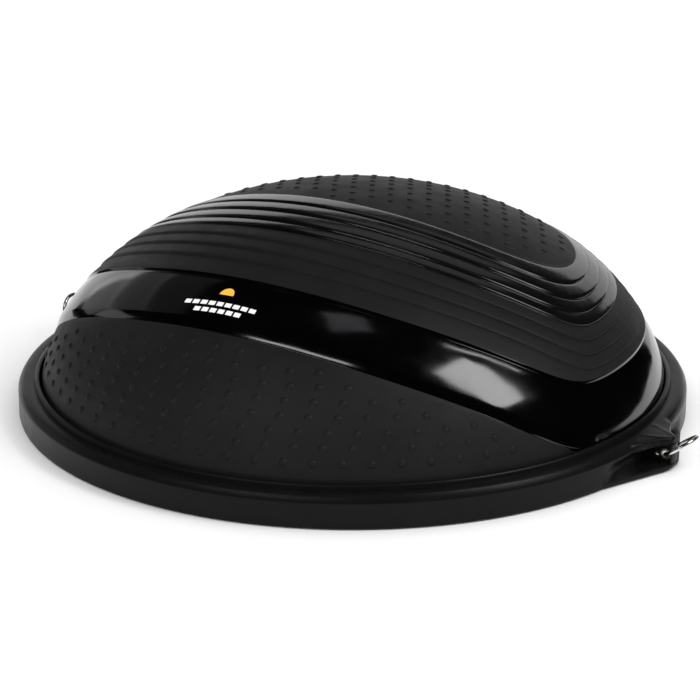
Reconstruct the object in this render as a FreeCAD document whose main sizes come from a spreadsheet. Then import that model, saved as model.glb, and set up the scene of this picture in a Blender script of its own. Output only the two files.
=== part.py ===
import FreeCAD, Part
import math
import os
import Sketcher

# Balance dome trainer: an inflated dome clamped to a round platform by a rim.
# Millimetres. The origin is the centre of the underside, where the rubber feet
# stand; +Z is up and +X runs along the line through the two ears and tie rings.

DIMENSIONS = {
    # rim
    "rim_radius": 300.0,
    "rim_base": 0.8,
    "rim_inner_radius": 295.0,
    "rim_bottom_chamfer": 1.2,
    "rim_shoulder_height": 24.0,
    "rim_shoulder_inset": 1.2,
    "rim_shoulder_rise": 3.0,
    "rim_deck_radius": 296.0,
    "rim_deck_height": 29.0,
    "rim_valley_radius": 288.0,
    "rim_valley_height": 30.3,
    "lip_outer_radius": 284.6,
    "lip_inner_radius": 280.3,
    "lip_height": 33.3,
    "lip_chamfer_across": 1.2,
    "lip_chamfer_down": 0.8,
    "clamp_inner_radius": 282.0,
    "clamp_outer_radius": 285.5,
    # dome
    "dome_radius": 282.0,
    "dome_rise": 190.0,
    "dome_centre_height": 4.5,
    "dome_wall": 3.0,
    "flange_inner_radius": 276.0,
    "flange_radius": 285.0,
    "flange_thickness": 3.0,
    "floor_thickness": 2.5,
    # platform
    "plate_radius": 294.5,
    "plate_thickness": 9.2,
    "plate_chamfer": 0.8,
    "groove_first_radius": 62.0,
    "groove_pitch": 27.0,
    "groove_width": 2.4,
    "groove_depth": 0.9,
    "foot_circle_radius": 252.0,
    "foot_radius": 20.0,
    "foot_height": 5.0,
    "foot_chamfer": 1.2,
    "foot_clearance": 0.2,
    # screws that hold the platform to the rim
    "screw_circle_radius": 289.0,
    "screw_radius": 2.0,
    "screw_hole_radius": 2.2,
    "screw_pilot_radius": 1.9,
    "screw_head_radius": 3.8,
    "screw_head_height": 2.4,
    "screw_seat_radius": 4.2,
    "screw_seat_depth": 3.0,
    "screw_length": 17.0,
    # valve in the middle of the platform
    "port_radius": 20.0,
    "port_depth": 5.0,
    "barrel_radius": 8.0,
    "barrel_clearance": 0.1,
    "valve_flange_radius": 15.0,
    "valve_flange_thickness": 2.0,
    "valve_bore_radius": 4.5,
    "plug_stem_radius": 4.44,
    "plug_stem_length": 9.0,
    "plug_head_radius": 9.0,
    "plug_head_height": 2.2,
    "plug_head_chamfer": 0.6,
    "plug_recess": 0.4,
    "plug_tip_radius": 3.2,
    "plug_tip_length": 2.5,
    # ears
    "ear_tip": 320.5,
    "ear_nose_half": 6.5,
    "ear_cheek_reach": 317.3,
    "ear_cheek_half": 19.3,
    "ear_root_reach": 288.6,
    "ear_root_half": 82.0,
    "ear_floor": 6.0,
    "hood_tip": 319.4,
    "hood_nose_half": 3.5,
    "hood_brow_reach": 310.6,
    "hood_brow_half": 11.4,
    "hood_cheek_reach": 305.5,
    "hood_cheek_half": 20.5,
    "hood_root_reach": 296.9,
    "hood_root_half": 41.0,
    "hood_underside": 22.0,
    "hood_top": 28.5,
    "hood_inner_radius": 287.0,
    "pillar_back": 318.3,
    "pillar_face": 320.2,
    "pillar_half": 6.5,
    "ear_web": 8.5,
    "ear_web_back": 294.7,
    "ear_web_tip": 319.0,
    "pocket_back": 295.2,
    "pocket_half": 50.0,
    # tie rings and their eyelets
    "pivot_reach": 313.0,
    "pivot_height": 13.3,
    "ring_radius": 15.0,
    "ring_wire": 1.75,
    "ring_tilt_right": 35.0,
    "ring_tilt_left": 80.0,
    "eyelet_bore": 3.5,
    "eyelet_barrel": 4.2,
    "eyelet_flange": 5.1,
    "eyelet_flange_thickness": 1.0,
    "eyelet_curl": 4.8,
    "eyelet_curl_thickness": 0.6,
    "eyelet_clearance": 0.05,
    "eyelet_washer": 5.2,
    # small screw beside each eyelet
    "ear_screw_reach": 304.6,
    "ear_screw_height": 11.2,
    "ear_screw_head_radius": 3.0,
    "ear_screw_head_height": 1.6,
    "ear_screw_radius": 1.5,
    "ear_screw_length": 5.0,
}
FOOT_COUNT = 8
SCREW_COUNT = 16
GROOVE_COUNT = 6
SIDES = {"right": 0.0, "left": 180.0}

# An ear's layers reach this far in from their root, as a share of its reach.
EAR_DEPTH_SHARE = 0.88
# The box that trims the dome is this many times its radius across.
TRIM_SPAN = 2.2
# Outline of the round screw head beside an eyelet, as shares of its size.
SCREW_CROWN_RADIUS = 0.35
SCREW_BROW_RADIUS = 0.8
SCREW_BROW_HEIGHT = 0.75

doc = FreeCAD.newDocument("balance_dome_trainer")
sheet = doc.addObject("Spreadsheet::Sheet", "dims")
for row, (alias, number) in enumerate(DIMENSIONS.items(), start=1):
    sheet.set(f"A{row}", alias)
    sheet.set(f"B{row}", str(number))
    sheet.setAlias(f"B{row}", alias)
doc.recompute()


class Size:
    """A number together with the spreadsheet expression that it comes from."""

    def __init__(self, text, value):
        self.text = text
        self.value = value

    def __add__(self, other):
        other = as_size(other)
        return Size(f"({self.text} + {other.text})", self.value + other.value)

    def __sub__(self, other):
        other = as_size(other)
        return Size(f"({self.text} - {other.text})", self.value - other.value)

    def __mul__(self, other):
        other = as_size(other)
        return Size(f"({self.text} * {other.text})", self.value * other.value)

    def __truediv__(self, other):
        other = as_size(other)
        return Size(f"({self.text} / {other.text})", self.value / other.value)

    def root(self):
        return Size(f"sqrt({self.text})", math.sqrt(self.value))


def as_size(number):
    return number if isinstance(number, Size) else Size(f"({float(number)})", float(number))


def dim(alias):
    return Size(f"dims.{alias}", float(sheet.get(alias)))


def bind(item, setting, size):
    item.setExpression(setting, as_size(size).text)


def place(item, x=0.0, y=0.0, z=0.0):
    for axis, size in (("x", x), ("y", y), ("z", z)):
        bind(item, f"Placement.Base.{axis}", size)
    return item


def turn(item, axis, degrees):
    item.Placement = FreeCAD.Placement(FreeCAD.Vector(), FreeCAD.Rotation(axis, degrees))
    return item


X_AXIS = FreeCAD.Vector(1, 0, 0)
Y_AXIS = FreeCAD.Vector(0, 1, 0)
Z_AXIS = FreeCAD.Vector(0, 0, 1)


# ---- builders ----------------------------------------------------------------
def origin_feature(body, role):
    return next(item for item in body.Origin.OriginFeatures if item.Role == role)


def outline(body, name, plane, corners):
    """A closed sketch whose corners are tied to the spreadsheet."""
    sketch = body.newObject("Sketcher::SketchObject", name)
    sketch.AttachmentSupport = (origin_feature(body, plane), [""])
    sketch.MapMode = "FlatFace"
    corners = [(as_size(across), as_size(up)) for across, up in corners]
    points = [FreeCAD.Vector(across.value, up.value, 0) for across, up in corners]
    count = len(points)
    for index, point in enumerate(points):
        sketch.addGeometry(Part.LineSegment(point, points[(index + 1) % count]), False)
    for index in range(count):
        sketch.addConstraint(Sketcher.Constraint("Coincident", index, 2, (index + 1) % count, 1))
    for index, (across, up) in enumerate(corners):
        for kind, size in (("DistanceX", across), ("DistanceY", up)):
            number = sketch.addConstraint(Sketcher.Constraint(kind, -1, 1, index, 1, size.value))
            sketch.setExpression(f"Constraints[{number}]", size.text)
    return sketch


def revolved(name, corners):
    """A body turned about its Z axis from corners given as (radius, height)."""
    body = doc.addObject("PartDesign::Body", name)
    sketch = outline(body, f"{name}_outline", "XZ_Plane", corners)
    feature = body.newObject("PartDesign::Revolution", f"{name}_turned")
    feature.Profile = sketch
    feature.ReferenceAxis = (sketch, ["V_Axis"])
    feature.Angle = 360.0
    body.Tip = feature
    return body


def extruded(name, corners, height):
    """A body with a flat outline in XY, raised along Z."""
    body = doc.addObject("PartDesign::Body", name)
    sketch = outline(body, f"{name}_outline", "XY_Plane", corners)
    feature = body.newObject("PartDesign::Pad", f"{name}_raised")
    feature.Profile = sketch
    bind(feature, "Length", height)
    body.Tip = feature
    return body


def round_pockets(body, name, circle_radius, radius, depth, count):
    """Round blind holes cut upwards from the XY plane, spaced evenly about Z."""
    sketch = body.newObject("Sketcher::SketchObject", f"{name}_circle")
    sketch.AttachmentSupport = (origin_feature(body, "XY_Plane"), [""])
    sketch.MapMode = "FlatFace"
    centre = FreeCAD.Vector(circle_radius.value, 0, 0)
    sketch.addGeometry(Part.Circle(centre, Z_AXIS, radius.value), False)
    sketch.addConstraint(Sketcher.Constraint("PointOnObject", 0, 3, -1))
    reach = sketch.addConstraint(Sketcher.Constraint("DistanceX", -1, 1, 0, 3, circle_radius.value))
    sketch.setExpression(f"Constraints[{reach}]", circle_radius.text)
    width = sketch.addConstraint(Sketcher.Constraint("Radius", 0, radius.value))
    sketch.setExpression(f"Constraints[{width}]", radius.text)
    pocket = body.newObject("PartDesign::Pocket", f"{name}_cut")
    pocket.Profile = sketch
    pocket.Reversed = True
    bind(pocket, "Length", depth)
    pattern = body.newObject("PartDesign::PolarPattern", f"{name}_pattern")
    pattern.Originals = [pocket]
    pattern.Axis = (origin_feature(body, "Z_Axis"), [""])
    pattern.Angle = 360.0
    pattern.Occurrences = count
    body.Tip = pattern


def cylinder(name, radius, height):
    item = doc.addObject("Part::Cylinder", name)
    bind(item, "Radius", radius)
    bind(item, "Height", height)
    return item


def box(name, length, width, height):
    item = doc.addObject("Part::Box", name)
    bind(item, "Length", length)
    bind(item, "Width", width)
    bind(item, "Height", height)
    return item


def fused(name, items):
    item = doc.addObject("Part::MultiFuse", name)
    item.Shapes = items
    return item


def cut(name, base, tool):
    item = doc.addObject("Part::Cut", name)
    item.Base = base
    item.Tool = tool
    return item


def common(name, base, tool):
    item = doc.addObject("Part::Common", name)
    item.Base = base
    item.Tool = tool
    return item


nodes = {}


def keep(label, item):
    """Names a finished sub-part; the label is also its file's name."""
    item.Label = label
    nodes[label] = item


# ---- heights that several pieces share -----------------------------------------
plate_top = dim("rim_base") + dim("plate_thickness")
floor_top = plate_top + dim("floor_thickness")
flange_top = floor_top + dim("flange_thickness")
screw_seat = dim("rim_base") + dim("screw_seat_depth")


# ---- ears ----------------------------------------------------------------------
OVERLAP = 1.0


def mirrored(half_outline):
    """Closes an outline given from its nose to its root on the +Y side."""
    return [(across, up * -1.0) for across, up in reversed(half_outline)] + half_outline


def ear_layer(name, half_outline, bottom, top, core_radius, degrees):
    """One flat layer of an ear, cut off inside the rim's own wall."""
    root_across, root_up = half_outline[-1]
    inside = root_across * EAR_DEPTH_SHARE
    corners = mirrored(half_outline) + [(inside, root_up), (inside, root_up * -1.0)]
    layer = extruded(f"{name}_slab", corners, top - bottom)
    turn(layer, Z_AXIS, degrees)
    place(layer, z=bottom)
    core = cylinder(f"{name}_core", core_radius, top - bottom)
    place(core, z=bottom)
    return cut(name, layer, core)


def ear_block(name, back, front, half_width, bottom, top, direction):
    """A box across the middle of an ear, from one reach to another."""
    item = box(name, front - back, half_width * 2.0, top - bottom)
    reach = back if direction > 0.0 else front * -1.0
    return place(item, reach, half_width * -1.0, bottom)


def ear(side, degrees):
    """Base flange, hood, web and nose pillar of one ear."""
    direction = math.cos(math.radians(degrees))
    flange_outline = [
        (dim("ear_tip"), dim("ear_nose_half")),
        (dim("ear_cheek_reach"), dim("ear_cheek_half")),
        (dim("ear_root_reach"), dim("ear_root_half")),
    ]
    hood_outline = [
        (dim("hood_tip"), dim("hood_nose_half")),
        (dim("hood_brow_reach"), dim("hood_brow_half")),
        (dim("hood_cheek_reach"), dim("hood_cheek_half")),
        (dim("hood_root_reach"), dim("hood_root_half")),
    ]
    low = dim("ear_floor")
    high = dim("hood_underside")
    core = dim("rim_inner_radius")
    flange = ear_layer(f"ear_flange_{side}", flange_outline, dim("rim_base"), low, core, degrees)
    core = dim("hood_inner_radius")
    hood = ear_layer(f"ear_hood_{side}", hood_outline, high, dim("hood_top"), core, degrees)
    low = low - OVERLAP
    high = high + OVERLAP
    back = dim("ear_web_back")
    half = dim("ear_web") / 2.0
    web = ear_block(f"ear_web_{side}", back, dim("ear_web_tip"), half, low, high, direction)
    back = dim("pillar_back")
    half = dim("pillar_half")
    pillar = ear_block(f"ear_pillar_{side}", back, dim("pillar_face"), half, low, high, direction)
    return [flange, hood, web, pillar]


def pocket(side, degrees):
    """Space for the fingers, cut into the rim behind both flanks of the ear."""
    direction = math.cos(math.radians(degrees))
    back = dim("pocket_back")
    low = dim("ear_floor")
    high = dim("hood_underside")
    half = dim("pocket_half")
    return ear_block(f"pocket_{side}", back, dim("ear_tip"), half, low, high, direction)


def cross_hole(name, radius, reach, direction, height, length):
    """Cylinder along Y through the ear's web."""
    item = turn(cylinder(name, radius, length), X_AXIS, 90.0)
    return place(item, reach * direction, length / 2.0, height)


# ---- clamp rim -------------------------------------------------------------------
def rim_ring():
    outer = dim("rim_radius")
    base = dim("rim_base")
    chamfer = dim("rim_bottom_chamfer")
    shoulder = dim("rim_shoulder_height")
    lip = dim("lip_outer_radius")
    return revolved(
        "rim_ring",
        [
            (dim("rim_inner_radius"), base),
            (outer - chamfer, base),
            (outer, base + chamfer),
            (outer, shoulder),
            (outer - dim("rim_shoulder_inset"), shoulder + dim("rim_shoulder_rise")),
            (dim("rim_deck_radius"), dim("rim_deck_height")),
            (dim("rim_valley_radius"), dim("rim_valley_height")),
            (lip, dim("lip_height") - dim("lip_chamfer_down")),
            (lip - dim("lip_chamfer_across"), dim("lip_height")),
            (dim("lip_inner_radius"), dim("lip_height")),
            (dim("clamp_inner_radius"), flange_top),
            (dim("clamp_outer_radius"), flange_top),
            (dim("clamp_outer_radius"), plate_top),
            (dim("rim_inner_radius"), plate_top),
        ],
    )


def clamp_rim():
    pockets = fused("pockets", [pocket(side, degrees) for side, degrees in SIDES.items()])
    solids = [cut("rim_ring_with_pockets", rim_ring(), pockets)]
    holes = []
    eye = dim("eyelet_barrel") + dim("eyelet_clearance")
    height = dim("pivot_height")
    for side, degrees in SIDES.items():
        solids += ear(side, degrees)
        direction = math.cos(math.radians(degrees))
        across = dim("ear_web") + OVERLAP
        name = f"eyelet_hole_{side}"
        holes.append(cross_hole(name, eye, dim("pivot_reach"), direction, height, across))
        pilot = cylinder(f"ear_pilot_{side}", dim("ear_screw_radius"), dim("ear_screw_length"))
        turn(pilot, X_AXIS, 90.0)
        pilot_y = dim("ear_screw_length") - dim("ear_web") / 2.0
        screw_height = dim("ear_screw_height")
        holes.append(place(pilot, dim("ear_screw_reach") * direction, pilot_y, screw_height))
    for index in range(SCREW_COUNT):
        hole = cylinder(f"rim_pilot_{index}", dim("screw_pilot_radius"), dim("screw_length"))
        holes.append(around(hole, dim("screw_circle_radius"), index, SCREW_COUNT, screw_seat))
    whole = fused("rim_with_ears", solids)
    keep("clamp_rim", cut("clamp_rim", whole, fused("rim_holes", holes)))


def around(item, radius, index, count, z):
    """Puts an item on a circle about Z: item number index of count."""
    angle = 2.0 * math.pi * index / count
    return place(item, radius * math.cos(angle), radius * math.sin(angle), z)


# ---- dome ------------------------------------------------------------------------
def dome_membrane():
    solids = []
    for name, inset in (("dome_outside", as_size(0.0)), ("dome_inside", dim("dome_wall"))):
        item = doc.addObject("Part::Ellipsoid", name)
        bind(item, "Radius1", dim("dome_rise") - inset)
        bind(item, "Radius2", dim("dome_radius") - inset)
        bind(item, "Radius3", dim("dome_radius") - inset)
        solids.append(place(item, z=dim("dome_centre_height")))
    shell = cut("dome_shell", *solids)
    span = dim("dome_radius") * TRIM_SPAN
    above = box("above_flange", span, span, dim("dome_rise"))
    place(above, span / -2.0, span / -2.0, floor_top)
    wall = common("dome_wall_shape", shell, above)
    flange = revolved(
        "dome_flange",
        [
            (dim("flange_inner_radius"), floor_top),
            (dim("flange_radius"), floor_top),
            (dim("flange_radius"), flange_top),
            (dim("flange_inner_radius"), flange_top),
        ],
    )
    keep("dome_membrane", fused("dome_membrane", [wall, flange]))


def dome_floor():
    hole = dim("barrel_radius") + dim("barrel_clearance")
    body = revolved(
        "dome_floor",
        [
            (hole, plate_top),
            (dim("flange_radius"), plate_top),
            (dim("flange_radius"), floor_top),
            (hole, floor_top),
        ],
    )
    keep("dome_floor", body)


# ---- platform ----------------------------------------------------------------------
def base_plate():
    bottom = dim("rim_base")
    port_top = bottom + dim("port_depth")
    hole = dim("barrel_radius") + dim("barrel_clearance")
    port = dim("port_radius")
    corners = [(hole, plate_top), (hole, port_top), (port, port_top), (port, bottom)]
    for index in range(GROOVE_COUNT):
        inner = dim("groove_first_radius") + dim("groove_pitch") * index
        outer = inner + dim("groove_width")
        roof = bottom + dim("groove_depth")
        corners += [(inner, bottom), (inner, roof), (outer, roof), (outer, bottom)]
    edge = dim("plate_radius")
    chamfer = dim("plate_chamfer")
    corners += [(edge - chamfer, bottom), (edge, bottom + chamfer), (edge, plate_top)]
    body = revolved("base_plate", corners)
    seat_radius = dim("foot_radius") + dim("foot_clearance")
    round_pockets(body, "foot_seat", dim("foot_circle_radius"), seat_radius, dim("foot_height"), FOOT_COUNT)
    circle = dim("screw_circle_radius")
    round_pockets(body, "screw_seat", circle, dim("screw_seat_radius"), screw_seat, SCREW_COUNT)
    round_pockets(body, "screw_hole", circle, dim("screw_hole_radius"), plate_top + OVERLAP, SCREW_COUNT)
    keep("base_plate", body)


def feet():
    radius = dim("foot_radius")
    chamfer = dim("foot_chamfer")
    for index in range(FOOT_COUNT):
        body = revolved(
            f"foot_{index + 1}",
            [
                (0.0, 0.0),
                (radius - chamfer, 0.0),
                (radius, chamfer),
                (radius, dim("foot_height")),
                (0.0, dim("foot_height")),
            ],
        )
        keep(f"foot_{index + 1}", around(body, dim("foot_circle_radius"), index, FOOT_COUNT, 0.0))


def rim_screws():
    screws = []
    for index in range(SCREW_COUNT):
        head = cylinder(f"screw_head_{index}", dim("screw_head_radius"), dim("screw_head_height"))
        shank = cylinder(f"screw_shank_{index}", dim("screw_radius"), dim("screw_length"))
        head_z = screw_seat - dim("screw_head_height")
        around(head, dim("screw_circle_radius"), index, SCREW_COUNT, head_z)
        around(shank, dim("screw_circle_radius"), index, SCREW_COUNT, screw_seat)
        screws.append(fused(f"screw_{index}", [head, shank]))
    group = doc.addObject("Part::Compound", "rim_screws")
    group.Links = screws
    keep("rim_screws", group)


# ---- valve -------------------------------------------------------------------------
def valve():
    bottom = dim("rim_base") + dim("plug_head_height") + dim("plug_recess")
    bore = dim("valve_bore_radius")
    flange_face = floor_top + dim("valve_flange_thickness")
    body = revolved(
        "valve_body",
        [
            (bore, bottom),
            (dim("barrel_radius"), bottom),
            (dim("barrel_radius"), floor_top),
            (dim("valve_flange_radius"), floor_top),
            (dim("valve_flange_radius"), flange_face),
            (bore, flange_face),
        ],
    )
    keep("valve_body", body)
    shoulder = bottom + dim("plug_stem_length")
    face = bottom - dim("plug_head_height")
    head = dim("plug_head_radius")
    chamfer = dim("plug_head_chamfer")
    plug = revolved(
        "valve_plug",
        [
            (0.0, face),
            (head - chamfer, face),
            (head, face + chamfer),
            (head, bottom),
            (dim("plug_stem_radius"), bottom),
            (dim("plug_stem_radius"), shoulder),
            (dim("plug_tip_radius"), shoulder + dim("plug_tip_length")),
            (0.0, shoulder + dim("plug_tip_length")),
        ],
    )
    keep("valve_plug", plug)


# ---- eyelets, tie rings and ear screws -------------------------------------------------
def ear_hardware(side, degrees):
    direction = math.cos(math.radians(degrees))
    web_face = dim("ear_web") / 2.0
    thickness = dim("eyelet_flange_thickness")
    curl_start = (web_face + thickness) * -1.0
    eyelet = revolved(
        f"eyelet_{side}",
        [
            (dim("eyelet_bore"), web_face + thickness),
            (dim("eyelet_flange"), web_face + thickness),
            (dim("eyelet_flange"), web_face),
            (dim("eyelet_barrel"), web_face),
            (dim("eyelet_barrel"), curl_start),
            (dim("eyelet_curl"), curl_start),
            (dim("eyelet_curl"), curl_start - dim("eyelet_curl_thickness")),
            (dim("eyelet_bore"), curl_start - dim("eyelet_curl_thickness")),
        ],
    )
    washer = revolved(
        f"eyelet_washer_{side}",
        [
            (dim("eyelet_barrel"), web_face * -1.0),
            (dim("eyelet_washer"), web_face * -1.0),
            (dim("eyelet_washer"), curl_start),
            (dim("eyelet_barrel"), curl_start),
        ],
    )
    for item in (eyelet, washer):
        turn(item, X_AXIS, 90.0)
        place(item, dim("pivot_reach") * direction, 0.0, dim("pivot_height"))
    keep(f"eyelet_{side}", eyelet)
    keep(f"eyelet_washer_{side}", washer)

    ring = doc.addObject("Part::Torus", f"tie_ring_{side}")
    bind(ring, "Radius1", dim("ring_radius"))
    bind(ring, "Radius2", dim("ring_wire"))
    tilt = dim(f"ring_tilt_{side}")
    turn(ring, Y_AXIS, -tilt.value * direction)
    reach = Size(f"cos({tilt.text})", math.cos(math.radians(tilt.value))) * dim("ring_radius")
    rise = Size(f"sin({tilt.text})", math.sin(math.radians(tilt.value))) * dim("ring_radius")
    place(ring, (dim("pivot_reach") + reach) * direction, 0.0, dim("pivot_height") + rise)
    keep(f"tie_ring_{side}", ring)

    head = dim("ear_screw_head_radius")
    crown = dim("ear_screw_head_height")
    screw = revolved(
        f"ear_screw_{side}",
        [
            (0.0, web_face - dim("ear_screw_length")),
            (dim("ear_screw_radius"), web_face - dim("ear_screw_length")),
            (dim("ear_screw_radius"), web_face),
            (head, web_face),
            (head * SCREW_BROW_RADIUS, web_face + crown * SCREW_BROW_HEIGHT),
            (head * SCREW_CROWN_RADIUS, web_face + crown),
            (0.0, web_face + crown),
        ],
    )
    turn(screw, X_AXIS, 90.0)
    place(screw, dim("ear_screw_reach") * direction, 0.0, dim("ear_screw_height"))
    keep(f"ear_screw_{side}", screw)


def check_and_export():
    doc.recompute()
    for item in doc.Objects:
        if "Invalid" in item.State or "Error" in item.State:
            raise RuntimeError(f"{item.Name} failed: {item.State}")
    for label, item in nodes.items():
        if item.Shape.isNull() or not item.Shape.isValid():
            raise RuntimeError(f"{label} has no valid shape")
    os.makedirs("parts", exist_ok=True)
    for label, item in nodes.items():
        item.Shape.exportStep(f"parts/{label}.step")
        box_size = item.Shape.BoundBox
        print(
            f"{label}: {len(item.Shape.Solids)} solid, {item.Shape.Volume / 1000.0:.2f} cm3,",
            f"x {box_size.XMin:.1f}..{box_size.XMax:.1f}",
            f"y {box_size.YMin:.1f}..{box_size.YMax:.1f}",
            f"z {box_size.ZMin:.1f}..{box_size.ZMax:.1f}",
        )


clamp_rim()
base_plate()
dome_floor()
dome_membrane()
feet()
rim_screws()
valve()
for side_name, side_degrees in SIDES.items():
    ear_hardware(side_name, side_degrees)
check_and_export()
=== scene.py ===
import math

import bpy
import numpy as np
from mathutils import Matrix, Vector


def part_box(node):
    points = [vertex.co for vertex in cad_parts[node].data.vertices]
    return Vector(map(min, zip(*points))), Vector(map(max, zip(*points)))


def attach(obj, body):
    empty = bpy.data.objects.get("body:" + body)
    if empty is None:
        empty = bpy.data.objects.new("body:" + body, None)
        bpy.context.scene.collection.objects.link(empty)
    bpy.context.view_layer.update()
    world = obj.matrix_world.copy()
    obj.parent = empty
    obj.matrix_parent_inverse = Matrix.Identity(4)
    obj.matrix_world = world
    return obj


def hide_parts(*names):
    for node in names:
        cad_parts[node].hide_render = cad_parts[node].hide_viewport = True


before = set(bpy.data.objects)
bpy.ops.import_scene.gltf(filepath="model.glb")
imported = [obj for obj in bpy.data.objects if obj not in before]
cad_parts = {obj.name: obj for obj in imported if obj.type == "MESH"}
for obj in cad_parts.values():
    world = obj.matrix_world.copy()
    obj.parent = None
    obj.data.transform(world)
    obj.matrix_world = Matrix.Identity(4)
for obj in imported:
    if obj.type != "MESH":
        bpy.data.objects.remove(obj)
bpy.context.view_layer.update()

# The object's lengths are in millimetres; meshes are scaled to metres when they are made.
# The stage, the lights and the camera are in metres.
MM = 0.001


def low_high(node):
    """A CAD node's box as two arrays, in millimetres."""
    low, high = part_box(node)
    return np.array(low) / MM, np.array(high) / MM


RIM_LOW, RIM_HIGH = low_high("clamp_rim")
DOME_LOW, DOME_HIGH = low_high("dome_membrane")
PLATE_HIGH = low_high("base_plate")[1]

RIM_RADIUS = RIM_HIGH[1]
LIP_TOP = RIM_HIGH[2]
RIM_BASE = RIM_LOW[2]
PLATE_RADIUS = PLATE_HIGH[0]
PLATE_TOP = PLATE_HIGH[2]

# The dome is half an ellipse turned about Z; its flange stands out from its wall.
FLANGE_REACH = 3.0
FLANGE_THICKNESS = 3.0
FLANGE_OUTER = DOME_HIGH[0]
FLANGE_INNER = 276.0
FLANGE_LOW = DOME_LOW[2]
FLANGE_HIGH = FLANGE_LOW + FLANGE_THICKNESS
DOME_RADIUS = FLANGE_OUTER - FLANGE_REACH
DOME_CENTRE = 4.5
DOME_RISE = DOME_HIGH[2] - DOME_CENTRE
DOME_WALL = 3.0
EDGE_LIMIT = 0.99999        # share of the radius at which the ellipse is cut off

COLUMNS = 720               # columns of the dome's mesh

# ---- dome: surface and pattern -------------------------------------------------------
# Every line of the pattern is a circle about the dome's axis whose near side is cut by
# a shallow curve. Each has (near depth, circle radius).
CONTOURS = [
    (27.0, 198.8),
    (47.9, 209.0),
    (66.8, 219.1),
    (84.9, 227.6),
    (98.2, 234.9),
    (114.8, 242.7),
    (130.6, 249.8),
    (146.0, 256.1),
    (165.8, 260.2),
    (215.0, 280.3),
]
GLOSS_RIBS = 4              # ribs inside this line are glossy, and those outside it matt
BAND_INNER, BAND_OUTER = 8, 9
FAN_CENTRE = 80.0           # the pattern's rays start here on +Y, inside the smallest line
SKIN_END = 280.6            # plan radius where the skin dips under the rim's lip
NEAR_HALF = 200.0           # half width over which the near curves are described
NEAR_SLOPE = 300.0          # how fast the measure grows across a near curve
# How far a near curve has bent back at NEAR_HALF: the value for the smallest line, and
# the change from there to the largest.
BEND_SQUARE = (31.52, 11.73)
BEND_FOURTH = (21.27, -9.15)
# Power that blends a circle with its near curve; a larger one gives a sharper corner.
BAND_CORNER = 31.33
RIB_CORNER = (10.97, 34.41)
LEAST_MEASURE = 0.05        # keeps the measure above zero far behind a near curve
RAY_LENGTH = 420.0          # longer than any ray inside the rim
HALVINGS = 40

# Height of the surface over the plain ellipse.
TOP_LIFT = -0.7
LOWER_LIFT = -0.6
CREASE = -0.6


def near_curve(x, index):
    """Plan position, along Y, of the near side of a pattern line."""
    share = index / BAND_OUTER
    u = x / NEAR_HALF
    square = BEND_SQUARE[0] + BEND_SQUARE[1] * share
    fourth = BEND_FOURTH[0] + BEND_FOURTH[1] * share
    return -CONTOURS[index][0] + square * u**2 + fourth * u**4


def inside_measure(x, y, index):
    """Below 1 inside pattern line number index, 1 on it, and above 1 outside."""
    from_axis = np.hypot(x, y) / CONTOURS[index][1]
    from_curve = np.maximum(1.0 + (near_curve(x, index) - y) / NEAR_SLOPE, LEAST_MEASURE)
    largest = np.maximum(from_axis, from_curve)
    power = BAND_CORNER if index >= BAND_INNER else RIB_CORNER[0] + RIB_CORNER[1] * index / BAND_OUTER
    return largest * ((from_axis / largest) ** power + (from_curve / largest) ** power) ** (1.0 / power)


def solve_along_rays(angles, outside):
    """Distance from the fan's centre at which outside(x, y) changes sign, by bisection."""
    near = np.zeros_like(angles)
    far = np.full_like(angles, RAY_LENGTH)
    for _ in range(HALVINGS):
        middle = (near + far) / 2.0
        beyond = outside(middle * np.cos(angles), FAN_CENTRE + middle * np.sin(angles)) > 0.0
        far = np.where(beyond, middle, far)
        near = np.where(beyond, near, middle)
    return (near + far) / 2.0


def dome_points(x, y, lift):
    """Points on the ellipse at plan position (x, y), raised by lift along its normal."""
    across = np.minimum(np.hypot(x, y) / DOME_RADIUS, EDGE_LIMIT)
    z = DOME_CENTRE + DOME_RISE * np.sqrt(1.0 - across**2)
    normal = np.stack([x / DOME_RADIUS**2, y / DOME_RADIUS**2, (z - DOME_CENTRE) / DOME_RISE**2], -1)
    normal /= np.linalg.norm(normal, axis=-1, keepdims=True)
    return np.stack([x, y, z], -1) + normal * np.asarray(lift)[..., None]


def smoothstep(low, high, value):
    """0 below low, 1 above high, and a smooth ramp between them."""
    share = np.clip((value - low) / (high - low), 0.0, 1.0)
    return share * share * (3.0 - 2.0 * share)


# ---- mesh helpers ----------------------------------------------------------------------
def grid_faces(rows, columns, wrap_rows=False, flip=False, offset=0):
    """Quads between neighbouring rows of a grid whose columns close on themselves."""
    row_index = np.arange(rows if wrap_rows else rows - 1)
    row, column = np.meshgrid(row_index, np.arange(columns), indexing="ij")
    next_row = (row + 1) % rows
    next_column = (column + 1) % columns
    corners = [
        row * columns + column,
        next_row * columns + column,
        next_row * columns + next_column,
        row * columns + next_column,
    ]
    if flip:
        corners.reverse()
    return (np.stack(corners, -1).reshape(-1, 4) + offset).tolist()


def fan_faces(centre, ring, flip=False):
    """Triangles from one point to a ring of points."""
    following = ring[1:] + ring[:1]
    faces = [[centre, first, second] for first, second in zip(ring, following)]
    return [face[::-1] for face in faces] if flip else faces


def make_piece(name, points, faces, materials, face_materials=None, smooth=True):
    """A mesh object from points in millimetres; faces are lists of corner numbers."""
    mesh = bpy.data.meshes.new(name)
    mesh.from_pydata((np.asarray(points) * MM).tolist(), [], faces)
    for material in materials:
        mesh.materials.append(material)
    if face_materials is not None:
        mesh.polygons.foreach_set("material_index", np.asarray(face_materials, dtype=np.int32))
    mesh.polygons.foreach_set("use_smooth", np.full(len(mesh.polygons), smooth))
    mesh.validate()
    mesh.update()
    piece = bpy.data.objects.new(name, mesh)
    bpy.context.scene.collection.objects.link(piece)
    return piece


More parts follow.
